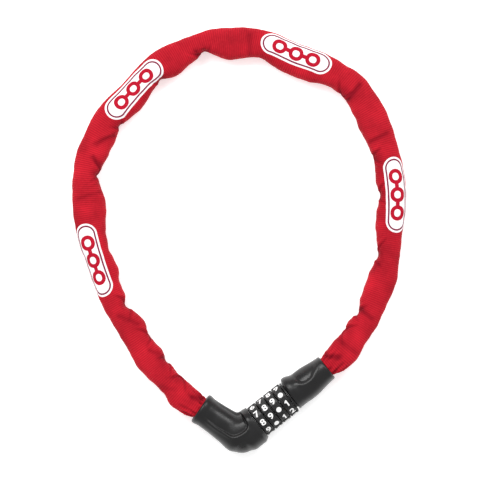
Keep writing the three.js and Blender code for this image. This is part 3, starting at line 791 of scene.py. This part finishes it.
PLEAT = 2.05  # half of the distance between pleats at the mouths
BADGES_AT = [(127.4, 3.2), (252.8, 0.5), (374, 1.5), (497.8, 3.6)]
# Creases over the top: their ends as (distance along, sideways place), and how deep they are.
CREASES = [
    ((5, -6), (11, -3), 0.9), ((31, 7), (23, 1), 0.4), ((55, -3), (46, -8), 0.6),
    ((86, 2), (75, -6), 0.6), ((169, 5), (173, -10), 0.5), ((192, -10), (198, -2), 0.8),
    ((218, -9), (207, -1), 0.8), ((304, -9), (303, -3), 0.8), ((343, -10), (341, 4), 0.5),
    ((423, -8), (421, 5), 1), ((459, -8), (457, 4), 0.8), ((545, -4), (552, -7), 0.5),
    ((580, -8), (583, 4), 0.8), ((608, -8), (608, 7), 0.5), ((622, -6), (616, 0), 1),
]
SLEEVE_UP, SLEEVE_UP_ON_LINK, SLEEVE_DOWN = 8.15, 0.65, 9.05  # half heights of the sleeve
MOUTH_HALF_HEIGHT = 9.0
SLEEVE_TOP, SLEEVE_REST = 12.5, 0.12  # highest above the centre line, lowest above the ground


def sleeve_route():
    """Points of the sleeve's centre line and their distances along it."""
    elbow_mouth, plug_mouth = on_leg(LEG_LENGTH), on_plug(PLUG_END)
    free = []
    for x, y in CHAIN_PLAN:
        point = np.array([x, y, RIM[2]])
        near = min(np.linalg.norm(point - elbow_mouth), np.linalg.norm(point - plug_mouth))
        point[2] = RIM[2] + (CHAIN_HEIGHT - RIM[2]) * ease(near, *DROP)
        free.append(point)
    route = spline([
        on_leg(LEG_LENGTH - TUCK), elbow_mouth, on_leg(JOINT_ON_LEG), *free,
        on_plug(JOINT_ON_PLUG), plug_mouth, on_plug(PLUG_END - TUCK),
    ], 60)
    distance = np.concatenate([[0], np.cumsum(np.linalg.norm(np.diff(route, axis=0), axis=1))])
    return route, distance


def node_centre(name):
    low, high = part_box(name)
    return np.array((low + high) / 2) / MM


def edge_width(at, column):
    """Half width at distances along the sleeve, leaving each narrow point steeply, as cloth does."""
    knots = np.array(EDGES, float)
    i = np.clip(np.searchsorted(knots[:, 0], at, side="right") - 1, 0, len(knots) - 2)
    a, b = knots[i], knots[i + 1]
    t = np.clip((at - a[:, 0]) / (b[:, 0] - a[:, 0]), 0, 1)
    low, high = a[:, column], b[:, column]
    rising = high > low
    arch = np.where(rising, np.sin(t * math.pi / 2), 1 - np.sin((1 - t) * math.pi / 2))
    return low + (high - low) * (0.45 * arch + 0.55 * ease(t, 0, 1))


def link_width(at, middles):
    """Half width, in their own plane, of the links with these middles."""
    width = np.full(len(at), float(LINK_HALF_BAR))
    for middle in middles:
        past = np.maximum(np.abs(at - middle) - LINK_END["arc_centre"], 0)
        width = np.maximum(width, np.sqrt(np.maximum(LINK_END["outer"] ** 2 - past ** 2, 0)))
    return width


def middles_of(link_middles, upright):
    """Middles along the sleeve of the upright links, which have the odd numbers, or of the flat ones."""
    return [middle for number, middle in link_middles.items() if number % 2 == upright]


def chain_clearance(at, link_middles):
    """A function that gives how far a point of a section is from the chain inside it."""
    bar = LINK_HALF_BAR + 0.7
    flat = link_width(at, middles_of(link_middles, False))[:, None] + 0.8
    upright = link_width(at, middles_of(link_middles, True))[:, None] + 0.35

    def distance(across, rise):
        a, b = np.abs(across), np.abs(rise)
        to_flat = np.hypot(np.maximum(a - flat, 0), np.maximum(b - bar, 0))
        to_upright = np.hypot(np.maximum(a - bar, 0), np.maximum(b - upright, 0))
        return np.minimum(to_flat, to_upright)

    return distance


def sleeve_sections(at, length, link_middles):
    """Half widths outwards and inwards, and half heights up and down, at distances along the sleeve."""
    opened = ease(np.minimum(at, length - at) - TUCK, 0, FLARE)
    least = link_width(at, middles_of(link_middles, False)) + 1.15
    inwards = edge_width(at, 2)
    inwards = inwards + (smooth_max(inwards, least, 0.8) - inwards) * opened
    held_up = sum(bump(at, middle, 9) for middle in middles_of(link_middles, True))
    up = SLEEVE_UP + SLEEVE_UP_ON_LINK * np.clip(held_up, 0, 1)
    up = up + (MOUTH_HALF_HEIGHT - up) * (1 - opened)
    return edge_width(at, 1), inwards, up, np.full(len(at), SLEEVE_DOWN)


def pinch_places():
    """Distances of the pinches along the sleeve, with how deep each one is."""
    rows = EDGES[3:-3]
    return [
        (here[0], PINCH_WIDTH + 1 - here[2])
        for before, here, after in zip(rows, rows[1:], rows[2:])
        if here[2] < PINCH_WIDTH and here[2] <= min(before[2], after[2])
    ]


def badge_cover(at, round_cloth):
    """1 on the printed badges, which keep the cloth stiff, fading to 0 round them."""
    cover = np.zeros(at.shape)
    straight = (BADGE["half_length"] - BADGE["radius"]) / MM
    for middle_along, middle_across in BADGES_AT:
        past_end = np.maximum(np.abs(at - middle_along) - straight, 0)
        reach = np.hypot(past_end, round_cloth - middle_across)
        cover = np.maximum(cover, 1 - ease(reach, 6, 10))
    return cover


# The functions below give the cloth's outward displacement and a painted shade that darkens the red, higher
# the deeper a point lies in a crease, pleat or pinch. at is the distance along the sleeve, around the
# distance round the section from the inside edge, either way, across the sideways place, negative to the
# inside, and rise the height.


def pinch_folds(at, around, across, rise, stiff):
    """A dimple at every pinch, and two creases that lean away from it over the cloth."""
    push = np.zeros(at.shape)
    shade = np.zeros(at.shape)
    rng = np.random.default_rng(11)
    clear = ease(-across, 0.5, 4)
    for place, depth in pinch_places():
        lean, spread = rng.uniform(-0.5, 0.5), rng.uniform(7, 11)
        dimple = bump(at, place + lean * around * 0.3, 3.2) * np.exp(-around / spread) * clear
        push -= (0.55 + 0.35 * depth) * dimple * (1 - 0.4 * stiff)
        shade += 0.5 * dimple + 0.45 * bump(at, place + 3 * lean, 5.5) * np.exp(-around / 9) * clear
        for direction in (-1, 1):
            slope = direction * rng.uniform(0.35, 0.9) + lean * 0.4
            below = rng.uniform(0, 0.6)
            line = at - place - slope * around
            run = ease(around, 0.3, 2.5) * (1 - ease(around, spread * 0.9, spread * 1.9)) * clear
            run = run * (1 - 0.85 * stiff) * (below + (1 - below) * ease(rise, -2.5, 1.5))
            push += run * (0.75 * bump(line, 1.8 * direction, 1.5) - 0.6 * bump(line, 0, 0.9))
            shade += run * 0.5 * bump(line, 0, 1.0)
    return push, shade


def top_creases(at, across, rise):
    """The listed creases: a valley along each, and a ridge beside it."""
    push = np.zeros(at.shape)
    shade = np.zeros(at.shape)
    for (at0, across0), (at1, across1), depth in CREASES:
        ex, ey = at1 - at0, across1 - across0
        run = np.clip(((at - at0) * ex + (across - across0) * ey) / (ex * ex + ey * ey), 0, 1)
        gap = np.hypot(at - at0 - run * ex, across - across0 - run * ey)
        beside = ((at - at0) * ey - (across - across0) * ex) / math.hypot(ex, ey)
        strength = depth * ease(rise, 0, 3)
        push += strength * (0.7 * bump(gap, 0, 4.5) * bump(beside, 3.2, 2) - 0.9 * bump(gap, 0, 1.3))
        shade += strength * 0.85 * bump(gap, 0, 2)
    return push, shade


def mouth_pleats(at, around, length):
    """Irregular pleats where the cloth is gathered into each mouth, and a deeper gather on the inside, with
    painted shade in the hollows of both.
    """
    mouth = np.minimum(at, length - at) - TUCK
    near = (1 - ease(mouth, 2, 17)) * ease(mouth, -1.5, 1.5)
    pleat = np.sin(around / PLEAT * math.pi + 1.6 * waves(at, around, 21, 14))
    depth = ease(waves(at, around, 23, 9), -0.9, 0.9)
    gather = bump(mouth, 5, 3.4) * bump(around, 4.5, 2.8)
    push = near * (0.3 + 0.6 * depth) * pleat - 0.8 * gather
    return push, near * depth * 0.9 * ease(-pleat, 0.0, 1) + 0.7 * gather


def folds(at, around, across, rise, stiff, length):
    """All folds and creases together, with the soft waves of loose cloth, and their painted shade."""
    pushes, shades = zip(
        pinch_folds(at, around, across, rise, stiff),
        top_creases(at, across, rise),
        mouth_pleats(at, around, length),
    )
    soft = 0.42 * waves(at, around, 3, 34) + 0.2 * waves(at, around * 0.55, 5, 12)
    fine = 0.06 * waves(at, around * 0.7, 8, 5)
    return sum(pushes) + soft + fine, np.clip(sum(shades), 0, 1)


def route_frames(stations, route, distance):
    """The centre line's places at the stations, with the directions to the outside and up."""
    def place(at):
        return np.stack([np.interp(at, distance, route[:, k]) for k in range(3)], -1)

    tangent = place(stations + 0.4) - place(stations - 0.4)
    tangent /= np.linalg.norm(tangent, axis=1, keepdims=True)
    side = np.cross([0, 0, 1], tangent)
    side /= np.linalg.norm(side, axis=1, keepdims=True)
    return place(stations), side, np.cross(tangent, side)


def sleeve_grid(stations, route, distance, link_middles):
    """Points, distances round the cloth and painted crease shade of the whole sleeve, ring by ring. Each
    ring runs from the bottom up the outside, over the top and down the inside."""
    length = distance[-1]
    centre, side, above = route_frames(stations, route, distance)
    outwards, inwards, up, down = sleeve_sections(stations, length, link_middles)
    theta = -math.pi / 2 + 2 * math.pi * np.arange(SIDES + 1) / SIDES
    c, s = np.cos(theta)[None], np.sin(theta)[None]
    wide = np.where(c > 0, outwards[:, None], inwards[:, None])
    tall = np.where(s > 0, up[:, None], down[:, None])
    across = wide * np.sign(c) * np.abs(c) ** SECTION_POWER
    rise = tall * np.sign(s) * np.abs(s) ** SECTION_POWER
    steps = np.hypot(np.diff(across, axis=1), np.diff(rise, axis=1))
    along_section = np.concatenate([np.zeros((len(stations), 1)), np.cumsum(steps, axis=1)], 1)
    top, inside_edge = SIDES // 2, 3 * SIDES // 4
    round_cloth = along_section[:, top:top + 1] - along_section
    around = np.abs(along_section - along_section[:, inside_edge:inside_edge + 1])
    around = np.minimum(around, along_section[:, -1:] - around)
    at = np.broadcast_to(stations[:, None], across.shape)
    push, shade = folds(at, around, across, rise, badge_cover(at, round_cloth), length)
    clearance = chain_clearance(stations, link_middles)
    push = np.maximum(push * ease(rise, -8.6, -4), -clearance(across, rise))
    across_normal, rise_normal = across / wide ** 2, rise / tall ** 2
    size = np.hypot(across_normal, rise_normal)
    across = across + push * across_normal / size
    rise = np.minimum(rise + push * rise_normal / size, SLEEVE_TOP)
    points = centre[:, None] + across[..., None] * side[:, None] + rise[..., None] * above[:, None]
    points[..., 2] = np.maximum(points[..., 2], SLEEVE_REST)
    return points, round_cloth, shade


def grid_normals(points):
    """Outward normals of the rings of points, the last of each ring being its first again."""
    along = np.gradient(points, axis=0)
    ring = points[:, :-1]
    around = np.roll(ring, -1, axis=1) - np.roll(ring, 1, axis=1)
    normal = np.cross(around, along[:, :-1])
    return normal / np.linalg.norm(normal, axis=2, keepdims=True)


def sleeve_piece(name, points, normals, cloth, shade, material):
    """One stretch of the sleeve. points, cloth and shade have a last column that closes the ring."""
    rows = len(points)
    piece = mesh_object(name, points[:, :-1].reshape(-1, 3), ring_quads(rows, SIDES, False), material)
    mesh = piece.data
    corner = [
        cloth[i + di, j + dj]
        for i in range(rows - 1) for j in range(SIDES)
        for di, dj in ((0, 0), (0, 1), (1, 1), (1, 0))
    ]
    layer = mesh.uv_layers.new(name="cloth")
    layer.data.foreach_set("uv", (np.array(corner) * MM).ravel())
    # the painted shade of the creases, pleats and pinches, stored on the mesh for the material
    painted_fold_shade = mesh.attributes.new("painted_fold_shade", "FLOAT", "POINT")
    painted_fold_shade.data.foreach_set("value", shade[:, :-1].astype(np.float32).ravel())
    mesh.normals_split_custom_set_from_vertices(normals.reshape(-1, 3).tolist())
    return piece


def sleeve_stretches(middles, length):
    """Each stretch's two ends along the sleeve, the two bodies by them, and a place on each of these
    bodies.
    Stretches run between bodies two links apart, except where the loop is left open in the far arc."""
    name = {number: f"link_{number:02d}" for number in middles}
    place = {number: node_centre(name[number]) for number in middles}

    def between(a, b):
        return middles[a], middles[b], name[a], name[b], place[a], place[b]

    opened = (middles[15] + middles[16]) / 2
    found = [(0.0, middles[2], "lock_body", name[2], on_leg(LEG_LENGTH - TUCK), place[2])]
    found += [between(k, k + 2) for k in range(2, 14, 2)]
    found.append((middles[14], opened, name[14], name[15], place[14], place[15]))
    found.append((opened, middles[18], name[16], name[18], place[16], place[18]))
    found += [between(k, k + 2) for k in range(18, 28, 2)]
    found.append((middles[28], length, name[28], "plug", place[28], on_plug(PLUG_END - TUCK)))
    return found


def sleeve():
    """The sleeve in stretches, each between two of the bodies inside it."""
    route, distance = sleeve_route()
    length = distance[-1]
    middles = {}
    for number in range(1, LINK_COUNT + 1):
        centre = node_centre(f"link_{number:02d}")
        middles[number] = distance[np.argmin(np.linalg.norm(route - centre, axis=1))]
    stretches = sleeve_stretches(middles, length)
    spans = [np.linspace(a, b, round((b - a) / STATION_PITCH) + 1) for a, b, *_ in stretches]
    stations = np.concatenate([spans[0]] + [span[1:] for span in spans[1:]])
    points, round_cloth, shade = sleeve_grid(stations, route, distance, middles)
    normals = grid_normals(points)
    cloth = np.stack([np.broadcast_to(stations[:, None], round_cloth.shape), round_cloth], -1)
    fabric = woven("sleeve_red", [(a * MM, b * MM) for a, b in BADGES_AT])
    start = 0
    for k, (span, stretch) in enumerate(zip(spans, stretches)):
        rows = slice(start, start + len(span))
        start += len(span) - 1
        piece = sleeve_piece(f"sleeve_{k + 1:02d}", points[rows], normals[rows], cloth[rows], shade[rows],
                             fabric)
        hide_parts("sleeve")
        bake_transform(piece)


# --- stage ---


def camera():
    """Straight above the lock, far away through a long lens."""
    shown, height, sensor = 0.3264, 1.6, 0.036  # the picture's width at the lock, and the sensor's
    across, up = 0.00068, -0.00068
    data = bpy.data.cameras.new("camera")
    data.sensor_width = sensor / MM
    data.lens = sensor / MM * (height - CHAIN_HEIGHT * MM) / shown
    made = bpy.data.objects.new("camera", data)
    made.location = (across, up, height)
    bpy.context.scene.collection.objects.link(made)
    bpy.context.scene.camera = made


def floor():
    s = Shading("floor_white")
    patchy = s.fit(s.noise(30), 0.3, 0.7)
    s.set(Base_Color=s.mix(patchy, (0.94, 0.94, 0.94, 1), (0.96, 0.96, 0.96, 1)))
    s.set(Roughness=0.9, Specular_IOR_Level=0.1)
    s.set(Emission_Color=(1, 1, 1, 1), Emission_Strength=0.4)
    half = 3000
    plane = mesh_object("floor", [(-half, -half, 0), (half, -half, 0), (half, half, 0), (-half, half, 0)],
                        [(0, 1, 2, 3)], s.material, False)


def area_light(name, place, size, power):
    """A round light that points at the origin."""
    data = bpy.data.lights.new(name, "AREA")
    data.shape = "DISK"
    data.size = size
    data.energy = power
    made = bpy.data.objects.new(name, data)
    made.location = place
    made.rotation_euler = (-Vector(place)).to_track_quat("-Z", "Y").to_euler()
    bpy.context.scene.collection.objects.link(made)


def lights():
    """A bright tent with a soft box above the far left and a weaker one above the far right."""
    world = bpy.data.worlds.new("tent")
    world.use_nodes = True
    background = world.node_tree.nodes["Background"]
    background.inputs["Color"].default_value = (1, 1, 1, 1)
    background.inputs["Strength"].default_value = 0.8
    bpy.context.scene.world = world
    area_light("soft_box", (-0.55, 0.70, 1.2), 0.8, 12.5)
    area_light("back_box", (0.55, 0.79, 1.15), 0.6, 7.5)
    bpy.context.scene.view_settings.view_transform = "Standard"


# --- assembly ---

SHELL_PITCH = 0.34

camera()
lights()
floor()
finish_cad_nodes()
elbow_covers(SHELL_PITCH)
plug_cover(SHELL_PITCH)
dials()
index_ring()
sleeve()
